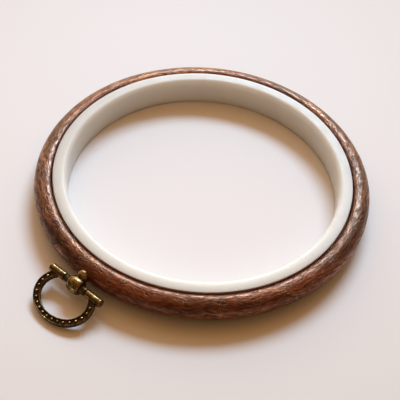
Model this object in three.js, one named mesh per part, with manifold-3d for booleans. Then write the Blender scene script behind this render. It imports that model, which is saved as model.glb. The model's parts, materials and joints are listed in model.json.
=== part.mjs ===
// A screwless embroidery hoop with a swinging hanging ring, lying flat. Millimetres, +Z up.
// It is drawn about the hoop's own axis, with the hanger towards -Y, and centred at the end.
import * as THREE from "three";
import { mergeVertices } from "three/addons/utils/BufferGeometryUtils.js";
import Module from "manifold-3d";

const wasm = await Module();
wasm.setup();

const HOOP_SEGMENTS = 108;
const ROUND_SEGMENTS = 24;
const SEAT_GAP = 0.05; // between pieces that are fixed to each other
const RUNNING_GAP = 0.08; // between the pin and the tubes that turn on it
const OVERCUT = 1; // how far a cutting shape goes past the surface it opens

const outerHoop = {
  boreRadius: 44.75,
  bulgeCentreRadius: 45.75,
  widestRadius: 50,
  widestHeight: 5,
  bottom: 0.3,
  top: 8.7,
  seamRadius: 0.5,
  cornerCut: 0.35,
  undercutPower: 1.4, // above 1, the underside is drawn in more than an ellipse's
};

const innerHoop = {
  outerRadius: 44.45,
  footRadius: 40.33,
  lipWallRadius: 40.5,
  top: 8.9,
  crown: 0.12,
  lipRound: 1.5,
  rimRound: 0.45,
  footCut: 0.45,
  grooveCount: 3,
  grooveDepth: 0.25,
  grooveHalfWidth: 0.45,
};

const bar = {
  radius: 53, // from the hoop's axis to the bar's axis
  height: 4.6,
};

const barrel = {
  halfLength: 2.1,
  middleRadius: 2.45,
  endRadius: 1.75,
  neckRadius: 1.15,
  neckEnd: 3.8,
};

const stem = {
  radius: 1.3,
  innerEnd: 46.4,
  ballRadius: 1.65,
  ballDistance: 50.2,
  ballHeight: 6.1,
};

const pin = {
  radius: 0.6,
  halfLength: 8,
};

const tube = {
  radius: 1.2,
  start: 4.1,
  end: 9.6,
  endRound: 0.5,
  holeEnd: 8.3,
};

// The bow is an ellipse that starts and ends on the bar, open like a horseshoe.
const bow = {
  centreDistance: 4.7, // from the bar's axis to the ellipse's centre
  halfWidth: 9.35,
  halfDepth: 7.64,
  bandWidth: 1.9,
  bandThickness: 1.27,
  rimWidth: 0.32,
  rimHeight: 0.37,
  beadRadius: 0.45,
  beadSpaces: 20,
  plainSpaces: 2, // left plain at each end, beside the bar
  curveSteps: 40,
};

const anchor = {
  pocketRadius: 2.6,
  pocketFloor: 46.35,
  washerRadius: 2.35,
  washerHole: 0.85,
  washerThickness: 0.4,
  headRadius: 1.7,
  headHeight: 0.85,
  screwRadius: 0.75,
  screwTip: 48.8,
  screwHoleEnd: 49,
  slotWidth: 0.4,
  slotDepth: 0.4,
};

function material(color, roughness, metalness) {
  return new THREE.MeshStandardMaterial({ color, roughness, metalness });
}

const woodGrainVinyl = material(0x5a2c20, 0.42, 0);
const whitePlastic = material(0xe9e3d8, 0.4, 0);
const antiqueBrass = material(0x8a6a34, 0.38, 1);
const steel = material(0xa9a9a6, 0.35, 1);

function solidOf(geometry) {
  const plain = geometry.clone();
  plain.deleteAttribute("normal");
  plain.deleteAttribute("uv");
  const merged = mergeVertices(plain, 1e-4);
  const mesh = new wasm.Mesh({
    numProp: 3,
    vertProperties: merged.attributes.position.array,
    triVerts: new Uint32Array(merged.index.array),
  });
  return new wasm.Manifold(mesh);
}

function geometryOf(solid) {
  const mesh = solid.getMesh();
  const positions = new THREE.BufferAttribute(mesh.vertProperties, mesh.numProp);
  const geometry = new THREE.BufferGeometry();
  geometry.setAttribute("position", positions);
  geometry.setIndex(new THREE.BufferAttribute(mesh.triVerts, 1));
  geometry.computeVertexNormals();
  return geometry;
}

function union(geometries) {
  return geometries.map(solidOf).reduce((joined, next) => joined.add(next));
}

function cut(solid, geometries) {
  return geometries.map(solidOf).reduce((left, tool) => left.subtract(tool), solid);
}

// Points of an arc between two angles. A power above 1 flattens it towards its chord.
function arc(centre, radii, fromDegrees, toDegrees, steps, power = 1) {
  const points = [];
  for (let i = 0; i <= steps; i++) {
    const angle = THREE.MathUtils.degToRad(fromDegrees + ((toDegrees - fromDegrees) * i) / steps);
    const bend = (value) => Math.sign(value) * Math.abs(value) ** power;
    const across = radii[0] * bend(Math.cos(angle));
    const up = radii[1] * bend(Math.sin(angle));
    points.push(new THREE.Vector2(centre[0] + across, centre[1] + up));
  }
  return points;
}

// A closed outline of radius and height, turned about the Z axis.
function turned(outline, segments) {
  const closed = [...outline, outline[0].clone()];
  return new THREE.LatheGeometry(closed, segments).rotateX(Math.PI / 2);
}

// A solid rod turned about its own X axis: the profile holds x along the rod and its radius there.
function turnedRod(profile) {
  const first = profile[0];
  const last = profile[profile.length - 1];
  const ends = [new THREE.Vector2(first.x, 0), ...profile, new THREE.Vector2(last.x, 0)];
  const points = ends.map((point) => new THREE.Vector2(point.y, point.x));
  return new THREE.LatheGeometry(points, ROUND_SEGMENTS).rotateZ(-Math.PI / 2);
}

// A plain round rod along Y, between two distances from the hoop's axis, on the hanger's side.
function radialRod(radius, from, to) {
  const rod = new THREE.CylinderGeometry(radius, radius, to - from, ROUND_SEGMENTS);
  return rod.translate(0, -(from + to) / 2, bar.height);
}

function crossRod(radius, from, to) {
  const ends = [new THREE.Vector2(from, radius), new THREE.Vector2(to, radius)];
  return turnedRod(ends);
}

function outerHoopSolid() {
  const h = outerHoop;
  const steps = 8;
  const reach = h.widestRadius - h.bulgeCentreRadius;
  const centre = [h.bulgeCentreRadius, h.widestHeight];
  const underside = arc(centre, [reach, h.widestHeight - h.bottom], -90, 0, steps, h.undercutPower);
  const back = arc(centre, [reach, h.top - h.widestHeight], 0, 90, steps).slice(1);
  const seamCentre = [h.boreRadius + h.seamRadius, h.top - h.seamRadius];
  const seam = arc(seamCentre, [h.seamRadius, h.seamRadius], 90, 180, 3);
  const corner = [
    new THREE.Vector2(h.boreRadius, h.bottom + h.cornerCut),
    new THREE.Vector2(h.boreRadius + h.cornerCut, h.bottom),
  ];
  const ring = turned([...underside, ...back, ...seam, ...corner], HOOP_SEGMENTS);
  const holeStart = h.boreRadius - OVERCUT;
  const pocket = radialRod(anchor.pocketRadius, holeStart, anchor.pocketFloor);
  const stemHole = radialRod(stem.radius + SEAT_GAP, holeStart, h.widestRadius + OVERCUT);
  return cut(solidOf(ring), [pocket, stemHole, stemBall(stem.ballRadius + SEAT_GAP)]);
}

function innerHoopSolid() {
  const h = innerHoop;
  const outline = [
    new THREE.Vector2(h.footRadius + h.footCut, 0),
    new THREE.Vector2(h.outerRadius - h.footCut, 0),
    new THREE.Vector2(h.outerRadius, h.footCut),
  ];
  for (let i = 1; i <= h.grooveCount; i++) {
    const middle = (h.top * i) / (h.grooveCount + 1);
    outline.push(new THREE.Vector2(h.outerRadius, middle - h.grooveHalfWidth));
    outline.push(new THREE.Vector2(h.outerRadius - h.grooveDepth, middle));
    outline.push(new THREE.Vector2(h.outerRadius, middle + h.grooveHalfWidth));
  }
  const rimCentre = [h.outerRadius - h.rimRound, h.top - h.rimRound];
  const lipCentre = [h.lipWallRadius + h.lipRound, h.top - h.lipRound];
  const crownMiddle = (rimCentre[0] + lipCentre[0]) / 2;
  outline.push(...arc(rimCentre, [h.rimRound, h.rimRound], 0, 90, 3));
  outline.push(new THREE.Vector2(crownMiddle, h.top + h.crown));
  outline.push(...arc(lipCentre, [h.lipRound, h.lipRound], 90, 180, 5));
  outline.push(new THREE.Vector2(h.footRadius, h.footCut));
  return solidOf(turned(outline, HOOP_SEGMENTS));
}

function stemBall(radius) {
  const ball = new THREE.SphereGeometry(radius, ROUND_SEGMENTS, ROUND_SEGMENTS / 2);
  return ball.translate(0, -stem.ballDistance, stem.ballHeight);
}

// The barrel on its own axis: an olive in the middle with a neck at each end.
function barrelRod() {
  const bulge = barrel.middleRadius - barrel.endRadius;
  const olive = arc([0, barrel.endRadius], [barrel.halfLength, bulge], 180, 0, 10);
  const profile = [
    new THREE.Vector2(-barrel.neckEnd, barrel.neckRadius),
    new THREE.Vector2(-barrel.halfLength, barrel.neckRadius),
    ...olive,
    new THREE.Vector2(barrel.halfLength, barrel.neckRadius),
    new THREE.Vector2(barrel.neckEnd, barrel.neckRadius),
  ];
  return turnedRod(profile).translate(0, -bar.radius, bar.height);
}

function hangerPostSolid() {
  const shank = radialRod(stem.radius, stem.innerEnd, bar.radius);
  const joined = union([barrelRod(), stemBall(stem.ballRadius), shank]);
  const pinHole = crossRod(pin.radius + SEAT_GAP, -pin.halfLength, pin.halfLength);
  pinHole.translate(0, -bar.radius, bar.height);
  const holeRadius = anchor.screwRadius + SEAT_GAP;
  const screwHole = radialRod(holeRadius, stem.innerEnd - OVERCUT, anchor.screwHoleEnd);
  return cut(joined, [pinHole, screwHole]);
}

function anchorWasherSolid() {
  const outerFace = anchor.pocketFloor - SEAT_GAP;
  const innerFace = outerFace - anchor.washerThickness;
  const disc = radialRod(anchor.washerRadius, innerFace, outerFace);
  return cut(solidOf(disc), [radialRod(anchor.washerHole, innerFace - OVERCUT, outerFace + OVERCUT)]);
}

function anchorScrewSolid() {
  const underHead = anchor.pocketFloor - SEAT_GAP - anchor.washerThickness - SEAT_GAP;
  const headTop = underHead - anchor.headHeight;
  const head = radialRod(anchor.headRadius, headTop, underHead);
  const shank = radialRod(anchor.screwRadius, headTop + anchor.slotDepth, anchor.screwTip);
  const slotLength = 2 * (anchor.headRadius + OVERCUT);
  const slot = new THREE.BoxGeometry(slotLength, anchor.slotDepth * 2, anchor.slotWidth);
  slot.translate(0, -headTop, bar.height);
  return cut(union([head, shank]), [slot]);
}

// The bow's outline, drawn in from its outer edge by the inset, from one end to the other.
function bowPath(inset) {
  const halfWidth = bow.halfWidth - inset;
  const halfDepth = bow.halfDepth - inset;
  const start = Math.asin(bow.centreDistance / halfDepth);
  const path = new THREE.Path();
  path.absellipse(0, -bow.centreDistance, halfWidth, halfDepth, start, Math.PI - start, true);
  return path;
}

// A band between two insets of the bow's outline, from one height to another.
function bowBand(outerInset, innerInset, bottom, top) {
  const outerEdge = bowPath(outerInset).getPoints(bow.curveSteps);
  const innerEdge = bowPath(innerInset).getPoints(bow.curveSteps).reverse();
  const shape = new THREE.Shape([...outerEdge, ...innerEdge]);
  const settings = { depth: top - bottom, bevelEnabled: false };
  return new THREE.ExtrudeGeometry(shape, settings).translate(0, 0, bottom);
}

function beads(height) {
  const middle = bowPath(bow.bandWidth / 2);
  const places = middle.getSpacedPoints(bow.beadSpaces).slice(bow.plainSpaces, -bow.plainSpaces);
  return places.map((place) => {
    const bead = new THREE.SphereGeometry(bow.beadRadius, 10, 6);
    return bead.rotateX(Math.PI / 2).translate(place.x, place.y, height);
  });
}

// One of the two tubes that turn on the pin, rounded at its outer end.
function crossTube(side) {
  const roundCentre = [tube.end - tube.endRound, tube.radius - tube.endRound];
  const round = arc(roundCentre, [tube.endRound, tube.endRound], 90, 0, 3);
  const rod = turnedRod([new THREE.Vector2(tube.start, tube.radius), ...round]);
  return side < 0 ? rod.rotateY(Math.PI) : rod;
}

// The ring in its own frame: the bar is the X axis, the bow points towards -Y, its face is up.
function hangerRingSolid() {
  const back = -(bow.bandThickness + bow.rimHeight) / 2;
  const groove = back + bow.bandThickness;
  const face = groove + bow.rimHeight;
  const rimRoot = groove - bow.rimHeight;
  const joined = union([
    bowBand(0, bow.bandWidth, back, groove),
    bowBand(0, bow.rimWidth, rimRoot, face),
    bowBand(bow.bandWidth - bow.rimWidth, bow.bandWidth, rimRoot, face),
    ...beads(groove),
    crossTube(1),
    crossTube(-1),
  ]);
  const holeRadius = pin.radius + RUNNING_GAP;
  return cut(joined, [
    crossRod(holeRadius, tube.start - OVERCUT, tube.holeEnd),
    crossRod(holeRadius, -tube.holeEnd, OVERCUT - tube.start),
  ]);
}

// The angle at which the bow's tip rests on the floor.
function restingDroop() {
  const reach = bow.centreDistance + bow.halfDepth;
  const halfThickness = (bow.bandThickness + bow.rimHeight) / 2;
  const diagonal = Math.hypot(reach, halfThickness);
  return Math.asin(bar.height / diagonal) - Math.atan2(halfThickness, reach);
}

function named(name, solid, look) {
  const mesh = new THREE.Mesh(geometryOf(solid), look);
  mesh.name = name;
  return mesh;
}

const pinRod = crossRod(pin.radius, -pin.halfLength, pin.halfLength);
const hingePin = named("hinge_pin", solidOf(pinRod), steel);
hingePin.position.set(0, -bar.radius, bar.height);

const hangerRing = named("hanger_ring", hangerRingSolid(), antiqueBrass);
hangerRing.position.set(0, -bar.radius, bar.height);
hangerRing.rotation.x = restingDroop();

const hoop = new THREE.Group();
hoop.add(named("outer_hoop", outerHoopSolid(), woodGrainVinyl));
hoop.add(named("inner_hoop", innerHoopSolid(), whitePlastic));
hoop.add(named("hanger_post", hangerPostSolid(), antiqueBrass));
hoop.add(named("anchor_washer", anchorWasherSolid(), steel));
hoop.add(named("anchor_screw", anchorScrewSolid(), steel));
hoop.add(hingePin, hangerRing);

// The part's origin is the middle of its footprint, on the floor.
hoop.updateMatrixWorld(true);
const extent = new THREE.Box3().setFromObject(hoop, true);
const middle = extent.getCenter(new THREE.Vector3());
hoop.position.set(-middle.x, -middle.y, -extent.min.z);

const part = new THREE.Group();
part.add(hoop);

export default part;
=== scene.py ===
"""A screwless embroidery hoop with a hanging ring, lying on a pale table, around the CAD frame."""

import json
import math

import bmesh
import bpy
import numpy as np
from mathutils import Matrix, Vector, noise


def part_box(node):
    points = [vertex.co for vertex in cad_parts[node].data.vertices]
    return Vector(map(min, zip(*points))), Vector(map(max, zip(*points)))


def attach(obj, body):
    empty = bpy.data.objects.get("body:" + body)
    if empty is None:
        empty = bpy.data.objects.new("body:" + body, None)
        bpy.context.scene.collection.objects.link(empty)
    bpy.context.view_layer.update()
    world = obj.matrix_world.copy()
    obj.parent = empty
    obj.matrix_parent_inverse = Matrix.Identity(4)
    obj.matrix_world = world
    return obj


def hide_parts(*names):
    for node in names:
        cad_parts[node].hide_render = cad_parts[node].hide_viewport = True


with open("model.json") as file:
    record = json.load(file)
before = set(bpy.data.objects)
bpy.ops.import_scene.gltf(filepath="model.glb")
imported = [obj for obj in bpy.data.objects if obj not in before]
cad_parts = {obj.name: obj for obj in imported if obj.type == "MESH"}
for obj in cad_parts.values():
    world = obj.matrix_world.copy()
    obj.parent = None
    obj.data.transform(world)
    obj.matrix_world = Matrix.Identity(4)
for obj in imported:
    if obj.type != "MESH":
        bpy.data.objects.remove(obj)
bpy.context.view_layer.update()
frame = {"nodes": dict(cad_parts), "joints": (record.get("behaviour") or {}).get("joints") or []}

MM = 0.001


# ---- Places and sizes, from the frame ----

def joint_named(name):
    return next(joint for joint in frame["joints"] if joint["name"] == name)


OUTER_LOW, OUTER_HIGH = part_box("outer_hoop")
INNER_LOW, INNER_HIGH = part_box("inner_hoop")
RING_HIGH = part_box("hanger_ring")[1]
POST_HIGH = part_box("hanger_post")[1]
WASHER_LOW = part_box("anchor_washer")[0]

HOOP_CENTRE = Vector(((INNER_LOW.x + INNER_HIGH.x) / 2, (INNER_LOW.y + INNER_HIGH.y) / 2, 0))
BAR_CENTRE = Vector(joint_named("ring_swing")["pos_m"])

RIM_OUTER = (OUTER_HIGH.x - OUTER_LOW.x) / 2
RIM_BORE = RIM_OUTER - 5.25 * MM
RIM_BULGE_CENTRE = RIM_OUTER - 3.7 * MM
RIM_WIDEST_HEIGHT = 5.0 * MM
RIM_UNDERCUT_POWER = 1.4
RIM_FOOT_ROUND = 0.35 * MM
RIM_RELIEF = 0.05 * MM
SEAM_DROP = 0.80 * MM

LINER_OUTER = (INNER_HIGH.x - INNER_LOW.x) / 2
LINER_FOOT_BORE = LINER_OUTER - 4.12 * MM
LINER_LIP_BORE = LINER_OUTER - 3.95 * MM
LINER_FOOT_ROUND = 0.4 * MM
LINER_RIM_ROUND = 0.20 * MM
LINER_LIP_ROUND = (1.1 * MM, 1.8 * MM)   # across and down
LINER_SLOPE = 0.16 * MM   # how far its top falls from the lip to the outer edge
LINER_GROOVE = (0.25 * MM, 0.45 * MM)   # depth and half height
LINER_GROOVES = 3
HOOP_SEGMENTS = 480

SEAM_SHADE_WIDTH = 0.18 * MM   # how far out from the bore the rim has painted seam shade
SEAM_REFLECTION_WIDTH = 0.10 * MM   # how far in from the outer wall the inner ring has a painted brown reflection of the wood
SEAM_DEPTH = 1.2 * MM   # how far down the painted shade and painted reflection reach where the two rings meet
SEAM_FADE = 0.5 * MM   # over what height the painted shade and reflection fade out below that

POST_NECK_RADIUS = 1.15 * MM
POST_MIDDLE_RADIUS = 2.45 * MM
OLIVE_HALF_LENGTH = 2.1 * MM
OLIVE_END_RADIUS = 1.75 * MM
BALL_RADIUS = 1.65 * MM
BALL_DISTANCE = 50.2 * MM   # from the hoop's axis
BALL_HEIGHT = 6.1 * MM
STEM_RADIUS = 1.3 * MM
HOLE_RADIUS = STEM_RADIUS + 0.1 * MM
POCKET_RADIUS = 2.6 * MM
POCKET_GAP = 0.05 * MM   # between the pocket's floor and the washer
CUT_MARGIN = 1 * MM   # how far a cutter reaches past what it cuts

TUBE_RADIUS = 1.2 * MM
TUBE_START = 4.1 * MM
TUBE_END = RING_HIGH.x
TUBE_INNER_ROUND = 0.12 * MM
TUBE_OUTER_ROUND = 0.5 * MM
BAND_HALF_WIDTH = TUBE_END - 0.25 * MM
BAND_CENTRE_DISTANCE = 4.7 * MM
BAND_HALF_DEPTH = 7.64 * MM
BAND_WIDTH = 1.9 * MM
BAND_THICKNESS = 1.64 * MM
BAND_GROOVE_DEPTH = 0.37 * MM
BAND_GROOVE_HEIGHT = BAND_THICKNESS / 2 - BAND_GROOVE_DEPTH
BAND_RAISED_EDGE = 0.32 * MM
BAND_ROUND = 0.16 * MM
BAND_START_ANGLE = math.asin(BAND_CENTRE_DISTANCE / (BAND_HALF_DEPTH - BAND_WIDTH / 2))
BEAD_RADIUS = 0.45 * MM
BEAD_SPACES = 20   # equal spaces along the middle of the bow
PLAIN_SPACES = 2   # of those, between each end of the bow and its nearest bead

# How worn the brass is in each place: 0 is dark and 1 is bare.
NECK_WEAR = 0.45
CROWN_EXTRA_WEAR = 0.25
TUBE_WEAR = 0.62
RAISED_EDGE_WEAR = 0.55
GROOVE_WEAR = 0.30
SIDE_WEAR = 0.35
BEAD_FOOT_WEAR = 0.1
BEAD_TOP_EXTRA_WEAR = 0.75


# ---- The view and the light ----

VIEW_AZIMUTH = math.radians(37.0)
VIEW_ELEVATION = math.radians(47.35)
VIEW_ROLL = math.radians(4.84)
VIEW_DISTANCE = 0.3032
VIEW_SHIFT = (-0.00475, -0.0202)   # of the lens, in picture widths
LENS_MM = 90
SENSOR_MM = 36

WINDOW_AZIMUTH = VIEW_AZIMUTH + math.radians(167)
WINDOW_ELEVATION = math.radians(42)
WINDOW_DISTANCE = 2.0
WINDOW_WIDTH = 1.2
WINDOW_HEIGHT = 0.55
WINDOW_POWER = 46.2
WINDOW_COLOUR = (0.515, 0.755, 0.985)

# The room's glows: degrees from the view's azimuth, degrees up, and a colour.
BEHIND_GLOW = (188, 0, (2.06, 1.84, 1.55))
OVERHEAD_GLOW = (180, 68, (0.74, 0.335, 0.085))
FRONT_GLOW = (0, 10, (0.30, 0.165, 0.072))
ROOM_COLOUR = (0.04, 0.03, 0.02)
BACKDROP_COLOUR = (0.80, 0.775, 0.765)

TABLE_HALF_WIDTH = 4.0
TABLE_DROP = 0.02 * MM   # keeps the table's face off the pieces that rest on it
# Centre of the light painted into the table's colour.
TABLE_PAINTED_LIGHT_AZIMUTH = VIEW_AZIMUTH + math.radians(215)
TABLE_PAINTED_LIGHT_DISTANCE = 0.030


def direction(azimuth, elevation):
    """From the object towards a place."""
    level = math.cos(elevation)
    return Vector((math.sin(azimuth) * level, -math.cos(azimuth) * level, math.sin(elevation)))


# ---- Mesh helpers ----

def share(value, low, high):
    """How far a value is from low to high, kept between 0 and 1."""
    return min(1.0, max(0.0, (value - low) / (high - low)))


def arc(centre, radii, start, end, steps, power=1.0):
    """Points of an elliptical arc, angles in degrees. A power above 1 flattens it towards its chord."""
    points = []
    for i in range(steps + 1):
        angle = math.radians(start + (end - start) * i / steps)
        across = math.copysign(abs(math.cos(angle)) ** power, math.cos(angle))
        up = math.copysign(abs(math.sin(angle)) ** power, math.sin(angle))
        points.append((centre[0] + radii[0] * across, centre[1] + radii[1] * up))
    return points


def line(start, end, steps):
    """Points from start to end, both included."""
    return [
        (start[0] + (end[0] - start[0]) * i / steps, start[1] + (end[1] - start[1]) * i / steps)
        for i in range(steps + 1)
    ]


def grid_faces(rows, columns, row_wraps, column_wraps):
    """Quads over a grid of vertices, stored row by row."""
    faces = []
    for row in range(rows if row_wraps else rows - 1):
        for column in range(columns if column_wraps else columns - 1):
            below = (row + 1) % rows
            right = (column + 1) % columns
            faces.append((
                row * columns + column,
                row * columns + right,
                below * columns + right,
                below * columns + column,
            ))
    return faces


def new_object(name, vertices, faces, place=(0, 0, 0), worn=None):
    """A smooth object from vertices and faces. Worn, if given, says how worn each vertex is."""
    mesh = bpy.data.meshes.new(name)
    mesh.from_pydata([tuple(v) for v in vertices], [], faces)
    if worn is not None:
        attribute = mesh.attributes.new("worn", "FLOAT", "POINT")
        attribute.data.foreach_set("value", np.array(worn, np.float32))
    made = bpy.data.objects.new(name, mesh)
    made.location = place
    bpy.context.scene.collection.objects.link(made)
    tidy = bmesh.new()
    tidy.from_mesh(mesh)
    bmesh.ops.remove_doubles(tidy, verts=tidy.verts, dist=1e-7)
    bmesh.ops.recalc_face_normals(tidy, faces=tidy.faces)
    tidy.to_mesh(mesh)
    tidy.free()
    mesh.shade_smooth()
    return made


def turned(outline, segments):
    """Vertices and faces of a closed outline of (radius, height) turned about the Z axis."""
    vertices = []
    for i in range(segments):
        angle = 2 * math.pi * i / segments
        for radius, height in outline:
            vertices.append((radius * math.cos(angle), radius * math.sin(angle), height))
    return vertices, grid_faces(segments, len(outline), row_wraps=True, column_wraps=True)


def turned_rod(profile, segments=48):
    """Vertices and faces of a rod along X, from a profile of (x, radius) that ends on the axis."""
    vertices = []
    for x, radius in profile:
        for i in range(segments):
            angle = 2 * math.pi * i / segments
            vertices.append((x, radius * math.cos(angle), radius * math.sin(angle)))
    return vertices, grid_faces(len(profile), segments, row_wraps=False, column_wraps=True)


def joined(*shapes):
    """One list of vertices and faces from several."""
    vertices = []
    faces = []
    for shape_vertices, shape_faces in shapes:
        start = len(vertices)
        vertices.extend(shape_vertices)
        faces.extend(tuple(start + index for index in face) for face in shape_faces)
    return vertices, faces


def moved(shape, matrix):
    vertices, faces = shape
    return [matrix @ Vector(v) for v in vertices], faces


def ball_shape(radius, place, rings, segments):
    """A ball, as a rod whose profile is a half circle."""
    angles = np.linspace(math.pi, 0, rings + 1)
    profile = [(radius * math.cos(angle), radius * math.sin(angle)) for angle in angles]
    return moved(turned_rod(profile, segments), Matrix.Translation(place))


def apply_modifiers(thing):
    """Turns the evaluated mesh into the object's own, with no modifiers left."""
    evaluated = thing.evaluated_get(bpy.context.evaluated_depsgraph_get())
    mesh = bpy.data.meshes.new_from_object(evaluated)
    thing.modifiers.clear()
    thing.data = mesh


# ---- Shader helpers ----

class Nodes:
    """A node tree, with short calls to add nodes and join them."""

    def __init__(self, tree):
        self.tree = tree

    def put(self, socket, value):
        """Links an output to a socket, or sets the socket's own value. A colour is three numbers."""
        if isinstance(value, bpy.types.NodeSocket):
            self.tree.links.new(value, socket)
        elif socket.type == "RGBA":
            socket.default_value = (*value, 1)
        else:
            socket.default_value = value

    def add(self, kind, inputs=None, output=0, **settings):
        """Adds a node, sets its fields, fills its inputs and returns one of its outputs."""
        node = self.tree.nodes.new(kind)
        for key, value in settings.items():
            setattr(node, key, value)
        for key, value in (inputs or {}).items():
            self.put(node.inputs[key], value)
        return node.outputs[output]

    def maths(self, operation, first, second=0.0, third=0.0):
        inputs = {0: first, 1: second, 2: third}
        return self.add("ShaderNodeMath", inputs, operation=operation)

    def dot(self, first, second):
        inputs = {0: first, 1: second}
        return self.add("ShaderNodeVectorMath", inputs, output="Value", operation="DOT_PRODUCT")


class Shader(Nodes):
    """A material's nodes."""

    def __init__(self, name):
        self.material = bpy.data.materials.new(name)
        self.material.use_nodes = True
        super().__init__(self.material.node_tree)

    def object_place(self):
        return self.add("ShaderNodeTexCoord", output="Object")

    def split(self, vector):
        """The three parts of a vector."""
        node = self.tree.nodes.new("ShaderNodeSeparateXYZ")
        self.put(node.inputs[0], vector)
        return tuple(node.outputs)

    def radius(self, place):
        """Distance of a place from the piece's own upright axis."""
        flat = self.add("ShaderNodeVectorMath", {0: place, 1: (1, 1, 0)}, operation="MULTIPLY")
        return self.add("ShaderNodeVectorMath", {0: flat}, output="Value", operation="LENGTH")

    def above(self, place, height, fade):
        """1 above a height, falling to 0 over a fade below it."""
        return self.remap(self.split(place)[2], height - fade, height, 0.0, 1.0)

    def noise(self, vector, scale, detail=2.0, roughness=0.5, w=None):
        inputs = {
            "Vector": vector,
            "Scale": scale,
            "Detail": detail,
            "Roughness": roughness,
        }
        if w is not None:
            inputs["W"] = w
        dimensions = "3D" if w is None else "4D"
        return self.add("ShaderNodeTexNoise", inputs, noise_dimensions=dimensions)

    def ramp(self, value, stops):
        """A colour ramp: stops are (position, colour)."""
        node = self.tree.nodes.new("ShaderNodeValToRGB")
        elements = node.color_ramp.elements
        while len(elements) < len(stops):
            elements.new(0.5)
        for element, (position, colour) in zip(elements, stops):
            element.position = position
            element.color = (*colour, 1)
        self.put(node.inputs[0], value)
        return node.outputs[0]

    def remap(self, value, low, high, to_low, to_high):
        """Takes low to to_low and high to to_high, smoothly, and goes no further at either end."""
        inputs = {
            "Value": value,
            "From Min": low,
            "From Max": high,
            "To Min": to_low,
            "To Max": to_high,
        }
        return self.add("ShaderNodeMapRange", inputs, interpolation_type="SMOOTHSTEP")

    def mix(self, factor, first, second):
        """Goes from the first colour to the second as the factor goes from 0 to 1."""
        node = self.tree.nodes.new("ShaderNodeMix")
        node.data_type = "RGBA"
        self.put(node.inputs["Factor"], factor)
        self.put(node.inputs["A"], first)
        self.put(node.inputs["B"], second)
        return node.outputs["Result"]

    def bump(self, height, distance, strength):
        inputs = {"Height": height, "Distance": distance, "Strength": strength}
        return self.add("ShaderNodeBump", inputs)

    def finish(self, **inputs):
        """Fills the surface's inputs, named with _ for a space, and returns the material."""
        surface = self.tree.nodes["Principled BSDF"]
        for key, value in inputs.items():
            self.put(surface.inputs[key.replace("_", " ")], value)
        return self.material


# ---- Materials ----

def along_grain(shader, lean, bend):
    """Returns the place on the surface, its radius, and a maker of streaks that run round the hoop.

    The streaks lean across the rim on two opposite sides of the hoop, and bend a little everywhere."""
    place = shader.object_place()
    x, y, z = shader.split(place)
    radius = shader.radius(place)
    leaning = shader.dot(place, direction(VIEW_AZIMUTH, 0) * lean)
    sway = shader.maths("SUBTRACT", shader.noise(place, scale=130, detail=1.0), 0.5)
    shift = shader.maths("MULTIPLY_ADD", sway, bend, leaning)
    bent_radius = shader.maths("ADD", radius, shift)
    bent_height = shader.maths("SUBTRACT", z, shift)

    def streaks(along, across, detail, roughness=0.55):
        inputs = {
            "X": shader.maths("MULTIPLY", x, along),
            "Y": shader.maths("MULTIPLY", y, along),
            "Z": shader.maths("MULTIPLY", bent_radius, across),
        }
        vector = shader.add("ShaderNodeCombineXYZ", inputs)
        w = shader.maths("MULTIPLY", bent_height, across)
        return shader.noise(vector, 1.0, detail, roughness, w)

    return place, radius, streaks


def seam_painted_light(shader, place, wall, top):
    """Where a ring gets painted shade or a painted reflection along the seam: on a wall, and only near the
    ring's top.
    """
    return shader.maths("MULTIPLY", wall, shader.above(place, top - SEAM_DEPTH, SEAM_FADE))


def wood_colour(shader, place, tone, pore_mask):
    """Dark to light brown as the tone goes up, with redder patches and black pores."""
    colour = shader.ramp(tone, [
        (0.40, (0.034, 0.008, 0.003)),
        (0.47, (0.088, 0.021, 0.008)),
        (0.54, (0.175, 0.055, 0.021)),
        (0.62, (0.430, 0.190, 0.085)),
    ])
    patches = shader.noise(place, scale=60, detail=2.0)
    redness = shader.remap(patches, 0.46, 0.66, 0.0, 0.55)
    colour = shader.mix(redness, colour, (0.150, 0.028, 0.011))
    return shader.mix(shader.maths("MULTIPLY", pore_mask, 0.9), colour, (0.012, 0.003, 0.002))


def wood_grain_material():
    """Reddish brown vinyl with a pressed wood grain, shiny on its ridges, with painted shade along the
    seam that also dims its shine.
    """
    shader = Shader("wood_grain_vinyl")
    place, radius, streaks = along_grain(shader, lean=0.10, bend=0.003)
    figure = streaks(along=45, across=260, detail=2.0)
    grain = streaks(along=420, across=1900, detail=3.0, roughness=0.7)
    pores = streaks(along=600, across=3400, detail=1.0)
    pore_mask = shader.remap(pores, 0.37, 0.46, 1.0, 0.0)
    # painted shade: the rim is darkened and its shine and coat dimmed near the top of the bore, where the
    # two rings meet
    bore_wall = shader.remap(radius, RIM_BORE, RIM_BORE + SEAM_SHADE_WIDTH, 1.0, 0.0)
    seam_shade = seam_painted_light(shader, place, bore_wall, OUTER_HIGH.z)
    unshaded = shader.maths("SUBTRACT", 1.0, seam_shade)
    colour = wood_colour(shader, place, shader.mix(0.55, figure, grain), pore_mask)

    relief = shader.maths("MULTIPLY_ADD", pore_mask, -0.5, grain)
    fine = shader.noise(place, scale=2600, detail=2.0)
    relief = shader.maths("MULTIPLY_ADD", fine, 0.10, relief)
    shine = shader.remap(grain, 0.42, 0.58, 0.45, 1.0)
    coat = shader.remap(grain, 0.44, 0.58, 0.0, 0.35)
    # The base colour, shine and coat carry the painted seam shade.
    return shader.finish(
        Base_Color=shader.mix(seam_shade, colour, (0.045, 0.010, 0.004)),
        Metallic=0.3,
        Roughness=shader.remap(grain, 0.35, 0.65, 0.38, 0.26),
        Specular_IOR_Level=shader.maths("MULTIPLY", shine, unshaded),
        Specular_Tint=(1.0, 0.66, 0.40),
        Coat_Weight=shader.maths("MULTIPLY", coat, unshaded),
        Coat_IOR=1.4,
        Coat_Roughness=0.22,
        Normal=shader.bump(relief, 0.20 * MM, 0.56),
    )


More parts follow.
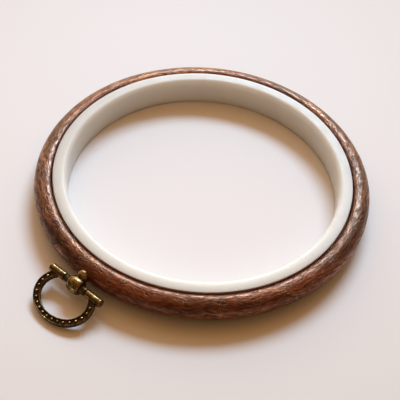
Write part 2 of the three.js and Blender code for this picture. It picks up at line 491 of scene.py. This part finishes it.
def white_plastic_material():
    """Off-white plastic that lets a little light through, with a painted brown reflection of the vinyl
    near the top of its outer wall.
    """
    shader = Shader("white_plastic")
    place = shader.object_place()
    cloudy = shader.noise(place, scale=35, detail=3.0, roughness=0.6)
    colour = shader.ramp(cloudy, [
        (0.35, (0.665, 0.648, 0.590)),
        (0.60, (0.705, 0.688, 0.630)),
    ])
    # painted reflection: the top of the outer wall is painted brown, as the wood beside it would reflect
    # onto it
    outer_wall = shader.remap(shader.radius(place), LINER_OUTER - SEAM_REFLECTION_WIDTH, LINER_OUTER, 0.0, 0.85)
    painted_wood_reflection = seam_painted_light(shader, place, outer_wall, INNER_HIGH.z)
    smudge = shader.noise(place, scale=300, detail=4.0, roughness=0.65)
    skin = shader.noise(place, scale=1400, detail=2.0)
    wave = shader.noise(place, scale=160, detail=1.0)
    relief = shader.maths("MULTIPLY_ADD", wave, 3.0, skin)
    return shader.finish(
        Base_Color=shader.mix(painted_wood_reflection, colour, (0.200, 0.070, 0.035)),
        Roughness=shader.remap(smudge, 0.35, 0.7, 0.30, 0.46),
        Specular_IOR_Level=0.15,
        Subsurface_Weight=1.0,
        Subsurface_Scale=6.0 * MM,
        Subsurface_Radius=(1.0, 0.90, 0.80),
        Normal=shader.bump(relief, 0.02 * MM, 0.6),
    )


def antique_brass_material():
    """Cast brass, dark in its recesses. The mesh says how worn each vertex is, in its own attribute."""
    shader = Shader("antique_brass")
    place = shader.object_place()
    worn = shader.add("ShaderNodeAttribute", output="Fac", attribute_name="worn")
    mottle = shader.noise(place, scale=900, detail=4.0, roughness=0.65)
    broad = shader.noise(place, scale=260, detail=2.0)
    amount = shader.maths("MULTIPLY_ADD", shader.maths("SUBTRACT", mottle, 0.5), 1.1, worn)
    amount = shader.maths("MULTIPLY_ADD", shader.maths("SUBTRACT", broad, 0.5), 0.5, amount)
    colour = shader.ramp(amount, [
        (0.10, (0.016, 0.009, 0.004)),
        (0.45, (0.050, 0.028, 0.011)),
        (0.75, (0.190, 0.120, 0.042)),
        (1.00, (0.800, 0.600, 0.290)),
    ])
    return shader.finish(
        Base_Color=colour,
        Metallic=0.9,
        Roughness=shader.remap(amount, 0.1, 0.9, 0.50, 0.18),
        Normal=shader.bump(mottle, 0.05 * MM, 0.5),
    )


def plain_steel_material():
    """Zinc-plated steel, a little cloudy."""
    shader = Shader("zinc_plated_steel")
    place = shader.object_place()
    cloudy = shader.noise(place, scale=700, detail=3.0)
    colour = shader.ramp(cloudy, [(0.35, (0.36, 0.36, 0.34)), (0.65, (0.56, 0.56, 0.53))])
    fine = shader.noise(place, scale=2500, detail=1.0)
    return shader.finish(
        Base_Color=colour,
        Metallic=1.0,
        Roughness=shader.remap(cloudy, 0.3, 0.7, 0.28, 0.45),
        Normal=shader.bump(fine, 0.02 * MM, 0.5),
    )


def table_material():
    """A pale matt table with painted light: it is painted a little darker and warmer away from one place
    near the hoop.
    """
    shader = Shader("pale_table")
    place = shader.object_place()
    cloudy = shader.noise(place, scale=3.0, detail=2.0)
    colour = shader.ramp(cloudy, [(0.3, (0.790, 0.772, 0.765)), (0.7, (0.815, 0.797, 0.790))])
    fine = shader.noise(place, scale=900, detail=2.0)
    # painted light falloff: the colour darkens and warms with distance from this place
    painted_light_centre = HOOP_CENTRE + direction(TABLE_PAINTED_LIGHT_AZIMUTH, 0) * TABLE_PAINTED_LIGHT_DISTANCE
    ends = {0: place, 1: painted_light_centre}
    distance = shader.add("ShaderNodeVectorMath", ends, output="Value", operation="DISTANCE")
    colour = shader.mix(shader.remap(distance, 0.02, 0.20, 0.0, 1.0), colour, (0.640, 0.608, 0.568))
    return shader.finish(
        Base_Color=colour,
        Roughness=0.7,
        Specular_IOR_Level=0.2,
        Normal=shader.bump(fine, 0.02 * MM, 0.3),
    )


# ---- The outer ring ----

def rim_outline():
    """The outer ring's section: drawn in below its widest place, rounded above, dipping to the seam."""
    centre = (RIM_BULGE_CENTRE, RIM_WIDEST_HEIGHT)
    reach = RIM_OUTER - RIM_BULGE_CENTRE
    bottom = OUTER_LOW.z
    top = OUTER_HIGH.z
    under = arc(centre, (reach, RIM_WIDEST_HEIGHT - bottom), -90, 0, steps=22, power=RIM_UNDERCUT_POWER)
    over = arc(centre, (reach, top - RIM_WIDEST_HEIGHT), 0, 90, steps=22)
    seam_centre = (RIM_BULGE_CENTRE, top - SEAM_DROP)
    seam = arc(seam_centre, (RIM_BULGE_CENTRE - RIM_BORE, SEAM_DROP), 90, 180, steps=12)
    wall = line((RIM_BORE, top - SEAM_DROP), (RIM_BORE, bottom + RIM_FOOT_ROUND), steps=16)
    foot_centre = (RIM_BORE + RIM_FOOT_ROUND, bottom + RIM_FOOT_ROUND)
    foot = arc(foot_centre, (RIM_FOOT_ROUND, RIM_FOOT_ROUND), 180, 270, steps=4)
    return under + over[1:] + seam[1:] + wall[1:] + foot[1:]


def emboss(vertices):
    """Presses a shallow, wavy wood relief into the rim's outside, running round it."""
    full_relief_radius = RIM_BORE + 1.5 * MM   # the relief fades out from here to the bore
    scale_along = 60
    scale_across = 420
    scale_up = 300
    upward_share = 0.5
    made = []
    for x, y, z in vertices:
        radius = math.hypot(x, y)
        sample = Vector((x * scale_along, y * scale_along, radius * scale_across + z * scale_up))
        push = RIM_RELIEF * share(radius, RIM_BORE, full_relief_radius) * noise.noise(sample)
        made.append((x + push * x / radius, y + push * y / radius, z + push * upward_share))
    return made


def cutter(name, radius, near, far, height):
    """A round bar on the hanger's side, from one distance from the hoop's axis to another."""
    bar = turned_rod([(near, 0), (near, radius), (far, radius), (far, 0)])
    turn = Matrix.Translation(HOOP_CENTRE + Vector((0, 0, height))) @ Matrix.Rotation(-math.pi / 2, 4, "Z")
    vertices, faces = moved(bar, turn)
    return new_object(name, vertices, faces)


def carve(thing, tools):
    """Cuts the tools out of a thing, then deletes the tools."""
    for tool in tools:
        modifier = thing.modifiers.new("cut", "BOOLEAN")
        modifier.operation = "DIFFERENCE"
        modifier.solver = "EXACT"
        modifier.object = tool
    apply_modifiers(thing)
    for tool in tools:
        bpy.data.objects.remove(tool)


def make_rim(material):
    vertices, faces = turned(rim_outline(), HOOP_SEGMENTS)
    rim = new_object("rim", emboss(vertices), faces, HOOP_CENTRE)
    near = RIM_BORE - CUT_MARGIN
    pocket_floor = HOOP_CENTRE.y - WASHER_LOW.y + POCKET_GAP
    pocket = cutter("pocket", POCKET_RADIUS, near, pocket_floor, BAR_CENTRE.z)
    hole = cutter("hole", HOLE_RADIUS, near, RIM_OUTER + CUT_MARGIN, BAR_CENTRE.z)
    carve(rim, [pocket, hole])
    rim.data.materials.clear()
    rim.data.materials.append(material)
    rim.data.shade_smooth()
    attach(rim, "outer_ring")
    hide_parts("outer_hoop")


# ---- The inner ring ----

def liner_wall(top):
    """Up the outer wall, from its foot and over its grip grooves."""
    foot_centre = (LINER_OUTER - LINER_FOOT_ROUND, LINER_FOOT_ROUND)
    points = arc(foot_centre, (LINER_FOOT_ROUND, LINER_FOOT_ROUND), -90, 0, steps=4)
    for i in range(1, LINER_GROOVES + 1):
        middle = top * i / (LINER_GROOVES + 1)
        points += arc((LINER_OUTER, middle), LINER_GROOVE, -90, -270, steps=8)
    return points


def liner_top(top):
    """Over the top: the outer edge, the slope up to the lip, and the lip."""
    rim_centre = (LINER_OUTER - LINER_RIM_ROUND, top - LINER_SLOPE - LINER_RIM_ROUND)
    lip_centre = (LINER_LIP_BORE + LINER_LIP_ROUND[0], top - LINER_LIP_ROUND[1])
    points = arc(rim_centre, (LINER_RIM_ROUND, LINER_RIM_ROUND), 0, 90, steps=6)
    steps = 10
    for i in range(1, steps):
        inwards = i / steps
        below = LINER_SLOPE * (1 - math.sin(math.pi / 2 * inwards))
        points.append((rim_centre[0] - (rim_centre[0] - lip_centre[0]) * inwards, top - below))
    return points + arc(lip_centre, LINER_LIP_ROUND, 90, 180, steps=14)


def liner_outline():
    """The inner ring's section. Its bore leans in a little towards its foot."""
    top = INNER_HIGH.z
    bore = line((LINER_LIP_BORE, top - LINER_LIP_ROUND[1]), (LINER_FOOT_BORE, LINER_FOOT_ROUND), steps=8)
    foot_centre = (LINER_FOOT_BORE + LINER_FOOT_ROUND, LINER_FOOT_ROUND)
    foot = arc(foot_centre, (LINER_FOOT_ROUND, LINER_FOOT_ROUND), 180, 270, steps=4)
    return liner_wall(top) + liner_top(top) + bore[1:] + foot[1:]


def make_liner(material):
    vertices, faces = turned(liner_outline(), HOOP_SEGMENTS)
    liner = new_object("liner", vertices, faces, HOOP_CENTRE)
    liner.data.materials.append(material)
    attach(liner, "inner_ring")
    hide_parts("inner_hoop")


# ---- The post ----

def barrel_shape():
    """The barrel, along X: an olive between two necks."""
    neck = POST_NECK_RADIUS
    end = POST_HIGH.x
    edge = 0.18 * MM
    bevel_length = 0.05 * MM
    bevel_rise = 0.1 * MM
    olive_rise = POST_MIDDLE_RADIUS - OLIVE_END_RADIUS
    olive = arc((0, OLIVE_END_RADIUS), (OLIVE_HALF_LENGTH, olive_rise), 180, 0, steps=24)
    left = [(-end, 0)]
    left += arc((edge - end, neck - edge), (edge, edge), 180, 90, steps=4)
    left += [(-OLIVE_HALF_LENGTH - bevel_length, neck), (-OLIVE_HALF_LENGTH, neck + bevel_rise)]
    right = [(-x, radius) for x, radius in reversed(left)]
    return turned_rod(left + olive + right, segments=64)


def stem_shape():
    """The stem that goes from the barrel into the rim, along Y."""
    length = POST_HIGH.y - BAR_CENTRE.y
    stem = turned_rod([(0, 0), (0, STEM_RADIUS), (length, STEM_RADIUS), (length, 0)], segments=40)
    return moved(stem, Matrix.Rotation(math.pi / 2, 4, "Z"))


def make_post(material):
    ball_place = Vector((0, HOOP_CENTRE.y - BALL_DISTANCE, BALL_HEIGHT)) - BAR_CENTRE
    ball = ball_shape(BALL_RADIUS, ball_place, rings=24, segments=48)
    vertices, faces = joined(barrel_shape(), ball, stem_shape())
    worn = []
    for _, y, z in vertices:
        crown = share(math.hypot(y, z), POST_NECK_RADIUS, POST_MIDDLE_RADIUS)
        worn.append(NECK_WEAR + CROWN_EXTRA_WEAR * crown)
    post = new_object("post", vertices, faces, BAR_CENTRE, worn)
    post.data.materials.append(material)
    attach(post, "outer_ring")
    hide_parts("hanger_post")


# ---- The hanging ring ----

def band_point(inset, angle, height):
    """A place on the bow: inset from its outer edge, angle round its ellipse, height from its middle."""
    across = (BAND_HALF_WIDTH - inset) * math.cos(angle)
    outward = -BAND_CENTRE_DISTANCE + (BAND_HALF_DEPTH - inset) * math.sin(angle)
    return Vector((across, outward, height))


def band_wear(height):
    """How worn the bow is at a height: most on its raised edges, least in the groove between them."""
    if height > BAND_GROOVE_HEIGHT + BAND_ROUND:
        return RAISED_EDGE_WEAR
    if height < BAND_GROOVE_HEIGHT - BAND_ROUND:
        return SIDE_WEAR
    return GROOVE_WEAR


def band_section():
    """The bow's section, as (inset, height): a flat back, and two raised edges on its face."""
    half = BAND_THICKNESS / 2
    half_edge = BAND_RAISED_EDGE / 2
    fillet = (BAND_ROUND, BAND_ROUND)
    outer = arc((BAND_ROUND, -half + BAND_ROUND), fillet, 270, 180, steps=4)
    outer += arc((half_edge, half - half_edge), (half_edge, half_edge), 180, 0, steps=8)
    groove_corner = (BAND_RAISED_EDGE + BAND_ROUND, BAND_GROOVE_HEIGHT + BAND_ROUND)
    outer += arc(groove_corner, fillet, 180, 270, steps=3)[1:]
    return outer + [(BAND_WIDTH - inset, height) for inset, height in reversed(outer)]


def band_shape():
    """The bow, and how worn each of its vertices is."""
    section = band_section()
    size = len(section)
    steps = 160
    vertices = []
    worn = []
    for i in range(steps + 1):
        angle = BAND_START_ANGLE - (math.pi + 2 * BAND_START_ANGLE) * i / steps
        vertices += [band_point(inset, angle, height) for inset, height in section]
        worn += [band_wear(height) for _, height in section]
    faces = grid_faces(steps + 1, size, row_wraps=False, column_wraps=True)
    for first in (0, steps * size):
        faces.append(tuple(range(first, first + size)))
    return (vertices, faces), worn


def bead_angles():
    """Angles of evenly spaced places along the middle of the bow."""
    samples = 721
    angles = np.linspace(BAND_START_ANGLE, -math.pi - BAND_START_ANGLE, samples)
    places = np.array([band_point(BAND_WIDTH / 2, angle, 0) for angle in angles])
    lengths = np.concatenate([[0], np.cumsum(np.linalg.norm(np.diff(places, axis=0), axis=1))])
    wanted = np.linspace(0, lengths[-1], BEAD_SPACES + 1)[PLAIN_SPACES:-PLAIN_SPACES]
    return np.interp(wanted, lengths, angles)


def bead_shapes():
    """The beads in the bow's groove, and how worn each of their vertices is."""
    beads = []
    worn = []
    for angle in bead_angles():
        place = band_point(BAND_WIDTH / 2, angle, BAND_GROOVE_HEIGHT)
        bead = ball_shape(BEAD_RADIUS, place, rings=10, segments=16)
        beads.append(bead)
        for vertex in bead[0]:
            up = share(vertex.z, BAND_GROOVE_HEIGHT, BAND_GROOVE_HEIGHT + BEAD_RADIUS)
            worn.append(BEAD_FOOT_WEAR + BEAD_TOP_EXTRA_WEAR * up)
    return beads, worn


def tube_shapes():
    """The tubes at the bow's two ends, and how worn each of their vertices is."""
    inner = TUBE_INNER_ROUND
    outer = TUBE_OUTER_ROUND
    profile = [(TUBE_START, 0)]
    profile += arc((TUBE_START + inner, TUBE_RADIUS - inner), (inner, inner), 180, 90, steps=3)
    profile += arc((TUBE_END - outer, TUBE_RADIUS - outer), (outer, outer), 90, 0, steps=8)
    profile += [(TUBE_END, 0)]
    tubes = [turned_rod([(side * x, radius) for x, radius in profile]) for side in (1, -1)]
    return tubes, [TUBE_WEAR] * sum(len(tube[0]) for tube in tubes)


def ring_droop():
    """How far the ring tips from level, about the bar, to rest on the table."""
    reach = BAND_CENTRE_DISTANCE + BAND_HALF_DEPTH
    diagonal = math.hypot(reach, BAND_THICKNESS / 2)
    return math.asin(BAR_CENTRE.z / diagonal) - math.atan2(BAND_THICKNESS / 2, reach)


def make_hanger_ring(material):
    band, band_worn = band_shape()
    beads, beads_worn = bead_shapes()
    tubes, tubes_worn = tube_shapes()
    tilt = Matrix.Rotation(ring_droop(), 4, "X")
    vertices, faces = moved(joined(band, *beads, *tubes), tilt)
    ring = new_object("ring", vertices, faces, BAR_CENTRE, band_worn + beads_worn + tubes_worn)
    ring.data.materials.append(material)
    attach(ring, "hanging_ring")
    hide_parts("hanger_ring")


# ---- The stage, the light and the camera ----

def make_table(material):
    half = TABLE_HALF_WIDTH
    corners = [(-half, -half, 0), (half, -half, 0), (half, half, 0), (-half, half, 0)]
    table = new_object("table", corners, [(0, 1, 2, 3)])
    table.location.z = -TABLE_DROP
    table.data.materials.append(material)


def make_world():
    """A room that glows softly behind the hoop, overhead and in front, and looks plain to the camera."""
    world = bpy.data.worlds.new("studio")
    bpy.context.scene.world = world
    world.use_nodes = True
    world.node_tree.nodes.clear()
    nodes = Nodes(world.node_tree)
    place = nodes.add("ShaderNodeTexCoord", output="Generated")
    room = nodes.add("ShaderNodeBackground", {"Color": ROOM_COLOUR})
    for azimuth, elevation, colour in (BEHIND_GLOW, OVERHEAD_GLOW, FRONT_GLOW):
        towards = direction(VIEW_AZIMUTH + math.radians(azimuth), math.radians(elevation))
        facing = nodes.maths("MAXIMUM", nodes.dot(place, towards), 0.0)
        strength = nodes.maths("POWER", facing, 2.0)
        glow = nodes.add("ShaderNodeBackground", {"Color": colour, "Strength": strength})
        room = nodes.add("ShaderNodeAddShader", {0: room, 1: glow})
    seen_by_camera = nodes.add("ShaderNodeLightPath", output="Is Camera Ray")
    backdrop = nodes.add("ShaderNodeBackground", {"Color": BACKDROP_COLOUR})
    shown = nodes.add("ShaderNodeMixShader", {0: seen_by_camera, 1: room, 2: backdrop})
    surface = world.node_tree.nodes.new("ShaderNodeOutputWorld").inputs["Surface"]
    nodes.put(surface, shown)


def make_window():
    """The one strong light: a soft oval window behind the hoop, a little to the right."""
    data = bpy.data.lights.new("window", "AREA")
    data.shape = "ELLIPSE"
    data.size = WINDOW_WIDTH
    data.size_y = WINDOW_HEIGHT
    data.energy = WINDOW_POWER
    data.color = WINDOW_COLOUR
    light = bpy.data.objects.new("window", data)
    bpy.context.scene.collection.objects.link(light)
    towards = direction(WINDOW_AZIMUTH, WINDOW_ELEVATION)
    light.location = HOOP_CENTRE + towards * WINDOW_DISTANCE
    light.rotation_euler = towards.to_track_quat("Z", "Y").to_euler()


def make_camera():
    data = bpy.data.cameras.new("camera")
    data.sensor_width = SENSOR_MM
    data.lens = LENS_MM
    data.shift_x, data.shift_y = VIEW_SHIFT
    data.clip_start = 0.01
    camera = bpy.data.objects.new("camera", data)
    bpy.context.scene.collection.objects.link(camera)
    back = direction(VIEW_AZIMUTH, VIEW_ELEVATION)
    level_right = Vector((math.cos(VIEW_AZIMUTH), math.sin(VIEW_AZIMUTH), 0))
    level_up = back.cross(level_right)
    right = level_right * math.cos(VIEW_ROLL) + level_up * math.sin(VIEW_ROLL)
    up = level_up * math.cos(VIEW_ROLL) - level_right * math.sin(VIEW_ROLL)
    axes = Matrix((right, up, back)).transposed().to_4x4()
    camera.matrix_world = Matrix.Translation(HOOP_CENTRE + back * VIEW_DISTANCE) @ axes
    bpy.context.scene.camera = camera


# ---- Everything ----

brass = antique_brass_material()
steel = plain_steel_material()
make_rim(wood_grain_material())
make_liner(white_plastic_material())
make_post(brass)
make_hanger_ring(brass)
for name in ("hinge_pin", "anchor_screw", "anchor_washer"):
    hardware = frame["nodes"][name]
    hardware.data.materials.clear()
    hardware.data.materials.append(steel)

make_table(table_material())
make_world()
make_window()
make_camera()
bpy.context.scene.view_settings.view_transform = "Standard"
